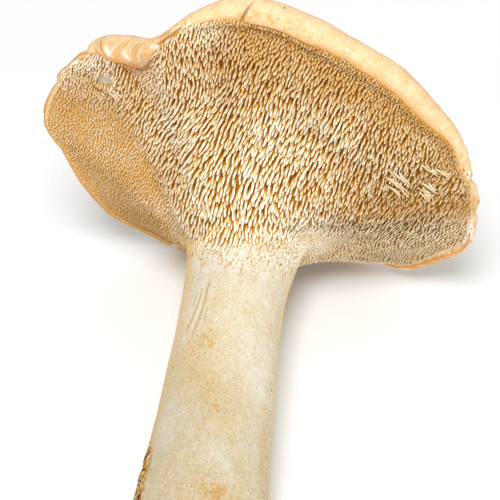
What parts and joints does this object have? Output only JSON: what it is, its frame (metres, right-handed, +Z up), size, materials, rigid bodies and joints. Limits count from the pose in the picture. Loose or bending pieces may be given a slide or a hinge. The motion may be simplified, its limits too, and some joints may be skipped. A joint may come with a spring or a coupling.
{
  "type": "hedgehog mushroom",
  "caption": "Picked mushroom lying on its side: a wide lobed cap with a rolled rim and a toothed, funnel-shaped underside, on a thick off-centre stem with a cut end.",
  "frame": {"origin": "bottom centre of the bounding box, on the surface that the mushroom lies on", "axes": "+Z up, +Y from the stem's cut end towards the cap, +X to the right of the cap seen from the cut end"},
  "size_m": [0.0934, 0.1042, 0.0885],
  "materials": {
    "mushroom_flesh": "matte, dry and finely suede-like, peach on the cap, cream on the teeth and off-white on the stem"
  },
  "bodies": {
    "root": {"mushroom": "mushroom_flesh"}
  },
  "joints": []
}
